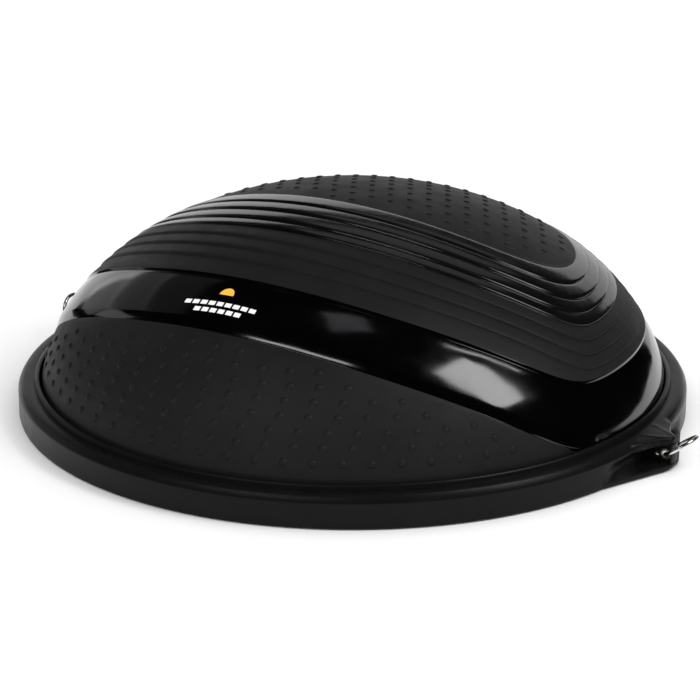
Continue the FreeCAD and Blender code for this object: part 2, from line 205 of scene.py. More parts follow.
# ---- materials ----------------------------------------------------------------------------
def new_material(name, colour, roughness, metallic=0.0, specular=0.5):
    material = bpy.data.materials.new(name)
    material.use_nodes = True
    shader = material.node_tree.nodes["Principled BSDF"]
    shader.inputs["Base Color"].default_value = (*colour, 1.0)
    shader.inputs["Roughness"].default_value = roughness
    shader.inputs["Metallic"].default_value = metallic
    shader.inputs["Specular IOR Level"].default_value = specular
    return material, material.node_tree, shader


def object_noise(tree, scale, detail=4.0, roughness=0.55):
    """Noise in the object's own coordinates, which are metres."""
    place = tree.nodes.new("ShaderNodeTexCoord")
    noise = tree.nodes.new("ShaderNodeTexNoise")
    noise.inputs["Scale"].default_value = scale
    noise.inputs["Detail"].default_value = detail
    noise.inputs["Roughness"].default_value = roughness
    tree.links.new(place.outputs["Object"], noise.inputs["Vector"])
    return noise


def vary_colour(tree, shader, scale, dark, light):
    noise = object_noise(tree, scale)
    ramp = tree.nodes.new("ShaderNodeValToRGB")
    ramp.color_ramp.elements[0].position = 0.3
    ramp.color_ramp.elements[1].position = 0.7
    ramp.color_ramp.elements[0].color = (*dark, 1.0)
    ramp.color_ramp.elements[1].color = (*light, 1.0)
    tree.links.new(noise.outputs["Fac"], ramp.inputs["Fac"])
    tree.links.new(ramp.outputs["Color"], shader.inputs["Base Color"])


def vary_roughness(tree, shader, scale, low, high):
    noise = object_noise(tree, scale, detail=3.0)
    spread = tree.nodes.new("ShaderNodeMapRange")
    spread.inputs["From Min"].default_value = 0.3
    spread.inputs["From Max"].default_value = 0.7
    spread.inputs["To Min"].default_value = low
    spread.inputs["To Max"].default_value = high
    tree.links.new(noise.outputs["Fac"], spread.inputs["Value"])
    tree.links.new(spread.outputs["Result"], shader.inputs["Roughness"])


def add_grain(tree, shader, scale, depth, strength=1.0, detail=3.0):
    noise = object_noise(tree, scale, detail=detail)
    bump = tree.nodes.new("ShaderNodeBump")
    bump.inputs["Strength"].default_value = strength
    bump.inputs["Distance"].default_value = depth
    tree.links.new(noise.outputs["Fac"], bump.inputs["Height"])
    tree.links.new(bump.outputs["Normal"], shader.inputs["Normal"])


def matt_vinyl():
    material, tree, shader = new_material("matt_vinyl", (0.008, 0.0079, 0.008), 0.55, specular=0.22)
    vary_colour(tree, shader, 22.0, (0.0072, 0.0071, 0.0073), (0.0092, 0.009, 0.0091))
    vary_roughness(tree, shader, 60.0, 0.5, 0.6)
    add_grain(tree, shader, 1900.0, 0.00012)
    return material


def gloss_vinyl():
    material, tree, shader = new_material("gloss_vinyl", (0.0006, 0.0006, 0.0007), 0.1)
    vary_colour(tree, shader, 12.0, (0.0004, 0.0004, 0.0005), (0.0009, 0.0009, 0.001))
    vary_roughness(tree, shader, 35.0, 0.08, 0.15)
    add_grain(tree, shader, 26.0, 0.0014, strength=0.3, detail=1.0)
    return material


def satin_vinyl():
    material, tree, shader = new_material("satin_vinyl", (0.0026, 0.0026, 0.0028), 0.15)
    vary_colour(tree, shader, 20.0, (0.002, 0.002, 0.0022), (0.0035, 0.0035, 0.0037))
    vary_roughness(tree, shader, 45.0, 0.12, 0.18)
    add_grain(tree, shader, 60.0, 0.0005, strength=0.3, detail=2.0)
    return material


def rim_plastic():
    material, tree, shader = new_material("rim_plastic", (0.0044, 0.0044, 0.0046), 0.3, specular=0.11)
    vary_colour(tree, shader, 30.0, (0.0039, 0.0039, 0.0041), (0.005, 0.005, 0.0052))
    vary_roughness(tree, shader, 45.0, 0.27, 0.34)
    add_grain(tree, shader, 1500.0, 0.0001)
    return material


def platform_plastic():
    material, tree, shader = new_material("platform_plastic", (0.014, 0.014, 0.0145), 0.5, specular=0.4)
    vary_colour(tree, shader, 25.0, (0.012, 0.012, 0.0125), (0.017, 0.017, 0.0175))
    vary_roughness(tree, shader, 40.0, 0.45, 0.58)
    add_grain(tree, shader, 900.0, 0.0002)
    return material


def foot_rubber():
    material, tree, shader = new_material("foot_rubber", (0.022, 0.022, 0.022), 0.75, specular=0.3)
    vary_colour(tree, shader, 120.0, (0.018, 0.018, 0.018), (0.028, 0.028, 0.028))
    add_grain(tree, shader, 1200.0, 0.0002)
    return material


def valve_vinyl():
    material, tree, shader = new_material("valve_vinyl", (0.55, 0.55, 0.53), 0.35)
    vary_colour(tree, shader, 150.0, (0.5, 0.5, 0.48), (0.6, 0.6, 0.58))
    add_grain(tree, shader, 900.0, 0.00008)
    return material


def bright_metal():
    material, tree, shader = new_material("bright_metal", (0.72, 0.7, 0.67), 0.2, metallic=1.0)
    vary_colour(tree, shader, 300.0, (0.64, 0.61, 0.57), (0.78, 0.77, 0.75))
    vary_roughness(tree, shader, 400.0, 0.14, 0.3)
    add_grain(tree, shader, 700.0, 0.00005)
    return material


def screw_steel():
    material, tree, shader = new_material("screw_steel", (0.4, 0.4, 0.41), 0.35, metallic=1.0)
    vary_roughness(tree, shader, 500.0, 0.28, 0.45)
    add_grain(tree, shader, 1500.0, 0.00004)
    return material


def printed_ink(name, dark, light):
    material, tree, shader = new_material(name, light, 0.35)
    vary_colour(tree, shader, 400.0, dark, light)
    add_grain(tree, shader, 2500.0, 0.00003)
    return material


MATT_VINYL = matt_vinyl()
GLOSS_VINYL = gloss_vinyl()
SATIN_VINYL = satin_vinyl()
RIM_PLASTIC = rim_plastic()
PLATFORM_PLASTIC = platform_plastic()
FOOT_RUBBER = foot_rubber()
VALVE_VINYL = valve_vinyl()
BRIGHT_METAL = bright_metal()
SCREW_STEEL = screw_steel()
AMBER_INK = printed_ink("amber_ink", (0.78, 0.4, 0.03), (0.86, 0.47, 0.05))
WHITE_INK = printed_ink("white_ink", (0.72, 0.72, 0.72), (0.8, 0.8, 0.8))


# ---- dome skin ---------------------------------------------------------------------------------
# Section of one rib between two pattern lines: (share of its width, lift). It starts in
# a crease, swells, and ends in a rounded edge above the next crease.
GLOSS_RIB_SECTION = [
    (0.0, CREASE),
    (0.03, -0.35),
    (0.09, 0.0),
    (0.2, 0.25),
    (0.38, 0.6),
    (0.56, 0.9),
    (0.72, 1.1),
    (0.82, 1.15),
    (0.89, 1.05),
    (0.935, 0.8),
    (0.965, 0.4),
    (0.985, -0.1),
]
# The smallest rib is the lowest.
FIRST_RIB_SECTION = [
    (0.0, -0.95),
    (0.02, -0.6),
    (0.06, -0.35),
    (0.15, -0.15),
    (0.3, 0.1),
    (0.5, 0.37),
    (0.68, 0.6),
    (0.8, 0.74),
    (0.88, 0.75),
    (0.935, 0.58),
    (0.965, 0.25),
    (0.985, -0.2),
]
MATT_RIB_SECTION = [
    (0.0, CREASE - 0.2),
    (0.04, -0.35),
    (0.1, -0.1),
    (0.25, 0.2),
    (0.45, 0.55),
    (0.65, 0.85),
    (0.8, 1.03),
    (0.88, 1.05),
    (0.925, 0.85),
    (0.96, 0.35),
    (0.985, -0.3),
]
# The largest rib keeps its height up to the glossy band.
LAST_RIB_SECTION = [
    (0.0, CREASE),
    (0.04, -0.3),
    (0.1, -0.1),
    (0.25, 0.2),
    (0.45, 0.5),
    (0.65, 0.85),
    (0.8, 1.1),
    (0.9, 1.2),
    (0.96, 1.2),
]
# The glossy band starts with the drop from the last rib and ends in a flat bevel.
BAND_SECTION = [
    (0.0, 1.12),
    (0.012, 0.95),
    (0.035, 0.45),
    (0.05, 0.12),
    (0.058, -0.05),
    (0.066, 0.05),
    (0.1, 0.25),
    (0.2, 0.6),
    (0.3, 0.85),
    (0.4, 1.03),
    (0.5, 1.14),
    (0.6, 1.22),
    (0.7, 1.27),
    (0.78, 1.3),
    (0.84, 1.3),
    (0.865, 1.26),
    (0.88, 1.17),
    (0.975, -0.33),
    (0.992, -0.8),
]
LOWER_SECTION = [(0.0, CREASE - 0.4), (0.02, LOWER_LIFT)]
LOWER_SECTION += [(share, LOWER_LIFT) for share in np.linspace(0.1, 1.0, 12)]
MATT, GLOSS, SATIN = 0, 1, 2

# Rows of the mesh as shares of the way out from the middle.
TOP_SHARES = (0.04, 0.12, 0.24, 0.36, 0.48, 0.6, 0.7, 0.8, 0.88, 0.94, 0.975)
INSIDE_SHARES = (1.0, 0.995, 0.98, 0.95, 0.9, 0.82, 0.7, 0.55, 0.4, 0.25, 0.1)
EDGE_FADE = (1.0, 9.0)      # width of the lower zone over which the band's bevel fades in
LINE_GAP = 0.3              # the band ends at least this far before the skin does
BEVEL_SHARE = 0.8           # the bevel at the band's lower edge starts past this share
HIDDEN_EDGE_LIFT = 1.2      # lift of the band's edge where it runs on under the lip
FLANGE_ROUND = 0.4          # size of the corner between the skin and its flange
SKIN_INSET = 0.6            # the inside of the skin keeps this far clear at the bottom


def section_lift(section, share):
    shares, lifts = zip(*section)
    return np.interp(share, shares, lifts)


def dome_skin():
    angles = np.linspace(0.0, 2.0 * math.pi, COLUMNS, endpoint=False)
    lines = [
        solve_along_rays(angles, lambda x, y, index=index: inside_measure(x, y, index) - 1.0)
        for index in range(len(CONTOURS))
    ]

    def circle(radius):
        return solve_along_rays(angles, lambda x, y: np.hypot(x, y) - radius)

    end = circle(SKIN_END)
    # where the band runs on under the lip it has no bevel at its lower edge
    edge_shows = smoothstep(*EDGE_FADE, end - lines[BAND_OUTER])
    lines[BAND_OUTER] = np.minimum(lines[BAND_OUTER], end - LINE_GAP)
    rows = []
    row_materials = []

    def add_row(distance, lift, material):
        x = distance * np.cos(angles)
        y = FAN_CENTRE + distance * np.sin(angles)
        rows.append(dome_points(x, y, lift + np.zeros(COLUMNS)))
        row_materials.append(material)

    def add_circle(radius, z):
        distance = circle(radius)
        x = distance * np.cos(angles)
        y = FAN_CENTRE + distance * np.sin(angles)
        rows.append(np.stack([x, y, np.full(COLUMNS, z)], -1))
        row_materials.append(MATT)

    for share in TOP_SHARES:
        add_row(lines[0] * share, TOP_LIFT, MATT)
    for index in range(BAND_INNER):
        if index == 0:
            section = FIRST_RIB_SECTION
        elif index < GLOSS_RIBS:
            section = GLOSS_RIB_SECTION
        elif index < BAND_INNER - 1:
            section = MATT_RIB_SECTION
        else:
            section = LAST_RIB_SECTION
        for share, lift in section:
            distance = lines[index] + (lines[index + 1] - lines[index]) * share
            add_row(distance, lift, SATIN if index < GLOSS_RIBS else MATT)
    width = lines[BAND_OUTER] - lines[BAND_INNER]
    for share, lift in BAND_SECTION:
        full = max(lift, HIDDEN_EDGE_LIFT) if share > BEVEL_SHARE else lift
        add_row(lines[BAND_INNER] + width * share, lift * edge_shows + full * (1.0 - edge_shows), GLOSS)
    for share, lift in LOWER_SECTION:
        add_row(lines[BAND_OUTER] + (end - lines[BAND_OUTER]) * share, lift, MATT)
    # round the welded flange and back up the inside of the skin
    for radius, z in (
        (DOME_RADIUS - FLANGE_ROUND, FLANGE_HIGH + FLANGE_ROUND),
        (FLANGE_OUTER, FLANGE_HIGH),
        (FLANGE_OUTER, FLANGE_LOW),
        (FLANGE_INNER, FLANGE_LOW),
        (FLANGE_INNER, FLANGE_HIGH),
        (DOME_RADIUS - DOME_WALL - SKIN_INSET, FLANGE_HIGH + FLANGE_ROUND),
    ):
        add_circle(radius, z)
    for share in INSIDE_SHARES:
        add_row(circle(DOME_RADIUS - SKIN_INSET) * share, -DOME_WALL, MATT)

    faces = grid_faces(len(rows), COLUMNS)
    face_rows = np.repeat(np.array(row_materials[:-1]), COLUMNS)
    centre = (np.array([0.0]), np.array([FAN_CENTRE]))
    points = np.concatenate([*rows, dome_points(*centre, TOP_LIFT), dome_points(*centre, -DOME_WALL)])
    outside, inside = len(points) - 2, len(points) - 1
    caps = fan_faces(outside, list(range(COLUMNS)))
    caps += fan_faces(inside, list(range(outside - COLUMNS, outside)), flip=True)
    dot_points, dot_faces = dots(len(points))
    points = np.concatenate([points, dot_points])
    numbers = list(face_rows) + [MATT] * (len(caps) + len(dot_faces))
    materials = [MATT_VINYL, GLOSS_VINYL, SATIN_VINYL]
    skin = make_piece("dome_skin", points, faces + caps + dot_faces, materials, numbers)
    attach(skin, "base")
    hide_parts("dome_membrane")


# ---- emblem on the band ---------------------------------------------------------------------------
EMBLEM_X = -9.0
INK_RISE = 0.16
INK_SINK = 0.3
DISC_RADIUS = 6.8
DISC_Y = -184.5
BAR_ROWS = ((-35.0, 35.0, -195.2), (-22.0, 22.0, -201.4))    # left, right, low edge
BAR_LENGTH, BAR_DEPTH, BAR_PITCH = 6.0, 3.6, 8.0
BAR_STEP = 3.0


def band_lift(x, y):
    """Lift of the band's surface at a plan position near the middle of its front."""
    inner = near_curve(x, BAND_INNER)
    return section_lift(BAND_SECTION, (inner - y) / (inner - near_curve(x, BAND_OUTER)))


def ink_patch(name, outlines, material):
    """Thin flat prints that follow the band, from outlines in plan."""
    points = []
    faces = []
    total = 0
    for outline in outlines:
        x, y = np.array(outline).T
        count = len(x)
        lift = band_lift(x, y)
        middle = (np.array([x.mean()]), np.array([y.mean()]))
        points.append(dome_points(x, y, lift - INK_SINK))
        points.append(dome_points(x, y, lift + INK_RISE))
        points.append(dome_points(*middle, band_lift(*middle) + INK_RISE))
        faces += grid_faces(2, count, flip=True, offset=total)
        faces += fan_faces(total + 2 * count, list(range(total + count, total + 2 * count)))
        faces.append(list(range(total, total + count))[::-1])
        total += 2 * count + 1
    patch = make_piece(name, np.concatenate(points), faces, [material], smooth=False)
    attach(patch, "base")


def bar_outline(left, right, low, high):
    """A bar cut into short steps, so that it can follow the curved surface."""
    steps = np.linspace(left, right, max(2, round((right - left) / BAR_STEP)))
    return [(x, low) for x in steps] + [(x, high) for x in steps[::-1]]


def emblem():
    turn = np.linspace(0.0, math.pi, 25)
    disc = [
        (EMBLEM_X + DISC_RADIUS * math.cos(angle), DISC_Y + DISC_RADIUS * math.sin(angle))
        for angle in turn
    ]
    ink_patch("emblem_half_disc", [disc], AMBER_INK)
    bars = []
    for left, right, low in BAR_ROWS:
        start = EMBLEM_X + left
        while start < EMBLEM_X + right - 1.0:
            bars.append(bar_outline(start, start + BAR_LENGTH, low, low + BAR_DEPTH))
            start += BAR_PITCH
    ink_patch("emblem_bars", bars, WHITE_INK)


# ---- dots of the grip zones ---------------------------------------------------------------------
TOP_DOT_PITCH = 19.5
TOP_DOT_RADIUS = 3.2
TOP_DOT_HEIGHT = 0.9
TOP_DOT_MARGIN = 8.0
TOP_DOT_FRONT_SHARE = 0.6   # share of the margin that is kept to the near curve
TOP_DOT_LIMIT = 0.985       # largest measure at which a dot is still inside the zone
TOP_DOT_ROWS = range(-3, 14)
TOP_DOT_COLUMNS = range(-12, 13)
LOWER_DOT_PITCH = 24.0
LOWER_ROW_STEP = 13.5
LOWER_FIRST_RADIUS = 275.0
LOWER_LAST_RADIUS = 200.0
LOWER_DOT_RADIUS = 3.5
LOWER_DOT_HEIGHT = 1.35
LOWER_DOT_MARGIN = 7.0
DOT_SIDES = 14
DOT_RINGS = 5
DOT_SINK = 0.08


def one_dot(x, y, radius, height, lift, offset):
    """A soft round bump whose foot runs out into the surface."""
    shares = np.linspace(1.0, 1.0 / DOT_RINGS, DOT_RINGS)
    turn = np.linspace(0.0, 2.0 * math.pi, DOT_SIDES, endpoint=False)
    centre = dome_points(np.array([x]), np.array([y]), np.array([0.0]))[0]
    steep = np.array([x / DOME_RADIUS**2, y / DOME_RADIUS**2, (centre[2] - DOME_CENTRE) / DOME_RISE**2])
    steep /= np.linalg.norm(steep)
    along = np.cross([0.0, 0.0, 1.0], steep)
    along = along / np.linalg.norm(along) if np.linalg.norm(along) > 1e-6 else np.array([1.0, 0.0, 0.0])
    down = np.cross(steep, along)
    rings = []
    for share in shares:
        rise = height * (1.0 - share**4) ** 1.5 - DOT_SINK
        flat = centre + radius * share * (np.cos(turn)[:, None] * along + np.sin(turn)[:, None] * down)
        rings.append(dome_points(flat[:, 0], flat[:, 1], np.full(DOT_SIDES, lift + rise)))
    tip = dome_points(np.array([x]), np.array([y]), np.array([lift + height - DOT_SINK]))
    points = np.concatenate([*rings, tip])
    faces = grid_faces(DOT_RINGS, DOT_SIDES, flip=True, offset=offset)
    top = offset + DOT_RINGS * DOT_SIDES
    faces += fan_faces(top, list(range(top - DOT_SIDES, top)))
    return points, faces


def top_dot_places():
    """Rows along X, staggered, inside the first pattern line."""
    places = []
    step = TOP_DOT_PITCH * math.sqrt(3.0) / 2.0
    for row in TOP_DOT_ROWS:
        for column in TOP_DOT_COLUMNS:
            x = (column + 0.5 * (row % 2)) * TOP_DOT_PITCH
            y = row * step
            outward = 1.0 + TOP_DOT_MARGIN / CONTOURS[0][1]
            ahead = y * outward - TOP_DOT_MARGIN * TOP_DOT_FRONT_SHARE
            if inside_measure(np.array(x * outward), np.array(ahead), 0) < TOP_DOT_LIMIT:
                places.append((x, y))
    return places


def lower_dot_places():
    """Rows parallel to the rim, staggered, outside the glossy band."""
    places = []
    radius = LOWER_FIRST_RADIUS
    row = 0
    while radius > LOWER_LAST_RADIUS:
        count = round(2.0 * math.pi * radius / LOWER_DOT_PITCH)
        for index in range(count):
            angle = 2.0 * math.pi * (index + 0.5 * (row % 2)) / count
            x, y = radius * math.cos(angle), radius * math.sin(angle)
            inward = 1.0 - LOWER_DOT_MARGIN / radius
            if inside_measure(np.array(x * inward), np.array(y * inward), BAND_OUTER) > 1.0 and y < 0.0:
                places.append((x, y))
        across = radius / DOME_RADIUS
        slope = DOME_RISE / DOME_RADIUS * across / math.sqrt(1.0 - across**2)
        radius -= LOWER_ROW_STEP / math.hypot(1.0, slope)
        row += 1
    return places


def dots(offset):
    points = []
    faces = []
    for places, radius, height, lift in (
        (top_dot_places(), TOP_DOT_RADIUS, TOP_DOT_HEIGHT, TOP_LIFT),
        (lower_dot_places(), LOWER_DOT_RADIUS, LOWER_DOT_HEIGHT, LOWER_LIFT),
    ):
        for x, y in places:
            dot_points, dot_faces = one_dot(x, y, radius, height, lift, offset)
            points.append(dot_points)
            faces += dot_faces
            offset += len(dot_points)
    return np.concatenate(points), faces


# ---- rim with its ears --------------------------------------------------------------------------
# Columns of the rim, in degrees from an ear's axis: (from, to, step).
RIM_SPANS = ((0.0, 5.0, 0.1), (5.0, 20.0, 0.25), (20.0, 90.0, 0.7))
FLANK_DISTANCE = 296.3      # the base flange's flanks are lines this far from the axis
FLANK_ANGLE = 23.7          # and their normals this far to either side of the ear
NOSE_REACH = 320.4
NOSE_ROUNDNESS = 54.0
NOSE_BLEND = 0.7            # how softly a flank meets the nose
EAR_END = 20.0
# Outline of the hood: (degrees from the ear's axis, plan radius).
HOOD_OUTLINE = [
    (0.0, 319.4),
    (0.45, 319.1),
    (1.0, 316.6),
    (2.03, 310.6),
    (3.75, 306.1),
    (4.9, 304.5),
    (7.66, 300.0),
]
POCKET_BACK = 295.2
SCOOP_DEPTH = 3.0
EAR_FLOOR = 6.0
HOOD_UNDERSIDE = 22.0
EAR_OVERLAP = 0.6           # the web and the pillar run this far into floor and hood
PLATE_GAP = 0.5
# Distances from the ear's axis over which its features fade out.
NOSE_FADE = (4.0, 16.0)
DEEP_FADE = (24.0, 44.0)
SCOOP_FADE = (54.0, 78.0)
# Widths outside the plain rim over which the hood and the ledge fade in.
HOOD_FADE = (0.0, 4.0)
LEDGE_FADE = (0.0, 2.5)
LEDGE_INSET = 0.8
FOOT_ROWS = ((1.6, 0.0), (0.8, 0.15), (0.25, 0.6), (0.0, 1.4))      # inset, height
LEDGE_ROWS = ((0.0, -0.7), (0.25, -0.2), (LEDGE_INSET, 0.0))        # inset, height
WALL_SHARES = (0.0, 0.01, 0.04, 0.1, 0.2, 0.35, 0.5, 0.65, 0.8, 0.9, 0.96, 0.99, 1.0)
BOX_SHARPNESS = 12.0
BOWL_POWER = 1.2
# The rim's shoulder: (inset, height, share of the hood's reach, height at the hood).
SHOULDER_ROWS = (
    (0.0, 22.2, 1.0, 22.2),
    (0.05, 22.9, 1.0, 24.0),
    (0.25, 23.6, 1.0, 26.0),
    (0.7, 24.5, 0.99, 27.2),
    (1.2, 25.4, 0.96, 27.8),
    (1.7, 26.2, 0.9, 28.1),
    (2.2, 26.9, 0.8, 28.35),
    (2.7, 27.6, 0.65, 28.6),
    (3.3, 28.25, 0.5, 28.85),
    (4.0, 28.8, 0.35, 29.1),
    (4.8, 29.15, 0.18, 29.3),
    (5.8, 29.4, 0.0, 29.4),
)
# The lip round the dome and the recess under it: (plan radius, height).
LIP_ROWS = (
    (292.0, 29.7),
    (289.5, 29.75),
    (287.6, 29.5),
    (286.6, 29.3),
    (286.0, 29.4),
    (285.7, 30.0),
    (285.4, 31.5),
    (284.6, 32.6),
    (283.6, 33.1),
    (282.2, 33.3),
    (281.2, 33.0),
    (280.6, 32.2),
    (280.7, 30.5),
    (282.0, 15.6),
    (285.5, 15.5),
    (285.5, PLATE_TOP),
)
# A low ridge on each side of a hood starts RIDGE_ASIDE from the ear's axis, RIDGE_REACH
# from the dome's, and comes RIDGE_INWARD closer to the ear's axis over RIDGE_LENGTH.
RIDGE_REACH = 290.0
RIDGE_ASIDE = 15.0
RIDGE_INWARD = 10.0
RIDGE_LENGTH = 24.0
RIDGE_HEIGHT = 0.35
RIDGE_HALF = 2.2
RIDGE_LIMIT = 0.95          # no ridge on the hood's edge, past this share of its reach
SHOULDER_RADIUS = 294.2
WEB_HALF = 4.25
PIVOT_REACH = 313.0
PIVOT_HEIGHT = 13.3


def rim_angles():
    """Columns of the rim, closer together at the ears."""
    half = np.concatenate([np.arange(*span) for span in RIM_SPANS])
    quarter = np.concatenate([half, [90.0]])
    side = np.concatenate([quarter, 180.0 - quarter[-2::-1]])
    whole = np.concatenate([side, 360.0 - side[-2:0:-1]])
    return np.radians(whole)


def ear_outlines(angles):
    """Plan radii of the base flange and of the hood, and the distance from the ear's axis."""
    from_axis = np.abs((np.degrees(angles) + 90.0) % 180.0 - 90.0)
    radians = np.radians(from_axis)
    flank = FLANK_DISTANCE / np.cos(np.radians(FLANK_ANGLE) - radians)
    nose = NOSE_REACH / np.cos(radians)
    flange = -NOSE_BLEND * np.logaddexp(-flank / NOSE_BLEND, -nose / NOSE_BLEND)
    flange = np.where(from_axis < EAR_END, np.maximum(flange, RIM_RADIUS), RIM_RADIUS)
    hood_degrees, hood_radii = zip(*HOOD_OUTLINE)
    hood = np.interp(from_axis, hood_degrees, hood_radii)
    return flange, hood, flange * np.sin(radians)


def clamp_rim():
    angles = rim_angles()
    flange, hood, across = ear_outlines(angles)
    count = len(angles)
    deep = 1.0 - smoothstep(*DEEP_FADE, across)
    scoop = 1.0 - smoothstep(*SCOOP_FADE, across)
    nose = 1.0 - smoothstep(*NOSE_FADE, across)
    in_hood = smoothstep(*HOOD_FADE, hood - RIM_RADIUS)
    ledge = smoothstep(*LEDGE_FADE, flange - RIM_RADIUS)
    back = np.minimum(POCKET_BACK / np.abs(np.cos(angles)), RIM_RADIUS) - SCOOP_DEPTH * (1.0 - deep)
    rows = []

    def add_row(radius, z):
        radius = radius + np.zeros(count)
        z = z + np.zeros(count)
        rows.append(np.stack([radius * np.cos(angles), radius * np.sin(angles), z], -1))

    inner = PLATE_RADIUS + PLATE_GAP
    add_row(inner, PLATE_TOP)
    add_row(inner, RIM_BASE)
    for inset, height in FOOT_ROWS:
        add_row(flange - inset * (1.0 + nose), RIM_BASE + height * (1.0 + nose))
    for inset, height in LEDGE_ROWS:
        add_row(flange - inset * ledge, EAR_FLOOR + height)
    # the wall behind the fingers: a box near the nose and a soft scoop further along
    rise = HOOD_UNDERSIDE - EAR_FLOOR
    step_in = LEDGE_INSET * ledge
    for share in WALL_SHARES:
        straight = flange - step_in + (hood - flange + step_in) * share
        box = min(1.0, math.sin(math.pi * share) * BOX_SHARPNESS)
        bowl = math.sin(math.pi * share) ** BOWL_POWER
        depth = np.maximum(straight - back, 0.0)
        section = box * deep + bowl * scoop * (1.0 - deep)
        add_row(straight - depth * section, EAR_FLOOR + rise * share)
    # outside the ears this is one rounded shoulder; at an ear it is the hood
    extra = hood - RIM_RADIUS
    for inset, z, share, hood_z in SHOULDER_ROWS:
        plain = RIM_RADIUS - inset
        ear = SHOULDER_RADIUS + (RIM_RADIUS - SHOULDER_RADIUS + extra) * share
        radius = plain + (ear - plain) * in_hood
        reach = radius * np.abs(np.cos(angles))
        ridge_aside = RIDGE_ASIDE - (reach - RIDGE_REACH) * RIDGE_INWARD / RIDGE_LENGTH
        beside = radius * np.abs(np.sin(angles)) - ridge_aside
        ridge_height = RIDGE_HEIGHT if share < RIDGE_LIMIT else 0.0
        ridge = ridge_height * np.exp(-((beside / RIDGE_HALF) ** 2))
        add_row(radius, z + (hood_z - z) * in_hood + ridge * in_hood)
    for radius, z in LIP_ROWS:
        add_row(radius, min(z, LIP_TOP))
    points = [np.concatenate(rows)]
    faces = grid_faces(len(rows), count, wrap_rows=True, flip=True)
    total = len(points[0])
    for direction in (1.0, -1.0):
        web = ear_web(direction, total)
        pillar = ear_pillar(direction, total + len(web[0]))
        for part_points, part_faces in (web, pillar):
            points.append(part_points)
            faces += part_faces
        total = sum(map(len, points))
    rim = make_piece("rim_shell", np.concatenate(points), faces, [RIM_PLASTIC])
    split_sharp(rim)
    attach(rim, "base")
    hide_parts("clamp_rim")


WEB_SIDES = 48
WEB_LOW = (294.7, EAR_FLOOR - EAR_OVERLAP)
WEB_HIGH = (319.0, HOOD_UNDERSIDE + EAR_OVERLAP)
EYE_RADIUS = 4.25
PILLAR_HALF = 6.5
PILLAR_STEPS = 13
PILLAR_BACK = 318.3
PILLAR_INSET = 0.25         # how far the pillar stands behind the flange's nose
PILLAR_CORNER = 0.5


def ear_web(direction, offset):
    """Upright web in the middle of an ear, with a round hole for the eyelet."""
    turn = np.linspace(0.0, 2.0 * math.pi, WEB_SIDES, endpoint=False)
    c, s = np.cos(turn), np.sin(turn)
    hole = np.stack([PIVOT_REACH + EYE_RADIUS * c, PIVOT_HEIGHT + EYE_RADIUS * s], -1)
    # the point of the rectangle that each ray from the hole's centre meets
    to_side = np.where(c > 0.0, WEB_HIGH[0] - PIVOT_REACH, WEB_LOW[0] - PIVOT_REACH)
    to_end = np.where(s > 0.0, WEB_HIGH[1] - PIVOT_HEIGHT, WEB_LOW[1] - PIVOT_HEIGHT)
    stretch = 1.0 / np.maximum(c / to_side, s / to_end)
    edge = np.stack([PIVOT_REACH + stretch * c, PIVOT_HEIGHT + stretch * s], -1)
    rows = []
    for ring, y in ((edge, -WEB_HALF), (hole, -WEB_HALF), (hole, WEB_HALF), (edge, WEB_HALF)):
        rows.append(np.stack([ring[:, 0] * direction, np.full(WEB_SIDES, y), ring[:, 1]], -1))
    faces = grid_faces(4, WEB_SIDES, wrap_rows=True, flip=direction < 0.0, offset=offset)
    return np.concatenate(rows), faces


def ear_pillar(direction, offset):
    """Rounded upright front of an ear's nose, between its flange and its hood."""
    y = np.linspace(-PILLAR_HALF, PILLAR_HALF, PILLAR_STEPS)
    front = NOSE_REACH - PILLAR_INSET - y**2 / NOSE_ROUNDNESS
    front[0] -= PILLAR_CORNER
    front[-1] -= PILLAR_CORNER
    x = np.concatenate([front, np.full(PILLAR_STEPS, PILLAR_BACK)])
    outline = np.stack([x * direction, np.concatenate([y, y[::-1]])], -1)
    rows = []
    for z in (EAR_FLOOR - EAR_OVERLAP, HOOD_UNDERSIDE + EAR_OVERLAP):
        rows.append(np.column_stack([outline, np.full(len(outline), z)]))
    count = len(outline)
    faces = grid_faces(2, count, flip=direction > 0.0, offset=offset)
    faces.append([offset + corner for corner in range(count)])
    faces.append([offset + count + corner for corner in range(count)][::-1])
    return np.concatenate(rows), faces


def split_sharp(piece, degrees=50.0):
    """Keeps the shading of sharp edges crisp."""
    piece.data.set_sharp_from_angle(angle=math.radians(degrees))


# ---- tie rings --------------------------------------------------------------------------------------
RING_AROUND, RING_SIDES = 96, 16
WIRE_RADIUS = 1.75


def wire_ring(side, direction):
    """A fine wire ring where the CAD ring stands, through its eyelet."""
    node = f"tie_ring_{side}"
    low, high = low_high(node)
    middle = (low + high) / 2.0
    radius = (high[1] - low[1]) / 2.0 - WIRE_RADIUS
    pivot = np.array([PIVOT_REACH * direction, 0.0, PIVOT_HEIGHT])
    u = (middle - pivot) / radius
    u /= np.linalg.norm(u)
    v = np.array([0.0, 1.0, 0.0])
    w = np.cross(u, v)
    centre = pivot + u * radius
    around = np.linspace(0.0, 2.0 * math.pi, RING_AROUND, endpoint=False)
    turn = np.linspace(0.0, 2.0 * math.pi, RING_SIDES, endpoint=False)
    rows = []
    for angle in around:
        outward = math.cos(angle) * u + math.sin(angle) * v
        section = np.cos(turn)[:, None] * outward + np.sin(turn)[:, None] * w
        rows.append(centre + outward * radius + section * WIRE_RADIUS)
    faces = grid_faces(RING_AROUND, RING_SIDES, wrap_rows=True)
    ring = make_piece(f"wire_ring_{side}", np.concatenate(rows), faces, [BRIGHT_METAL])
    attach(ring, f"{side}_ring")
    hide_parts(node)


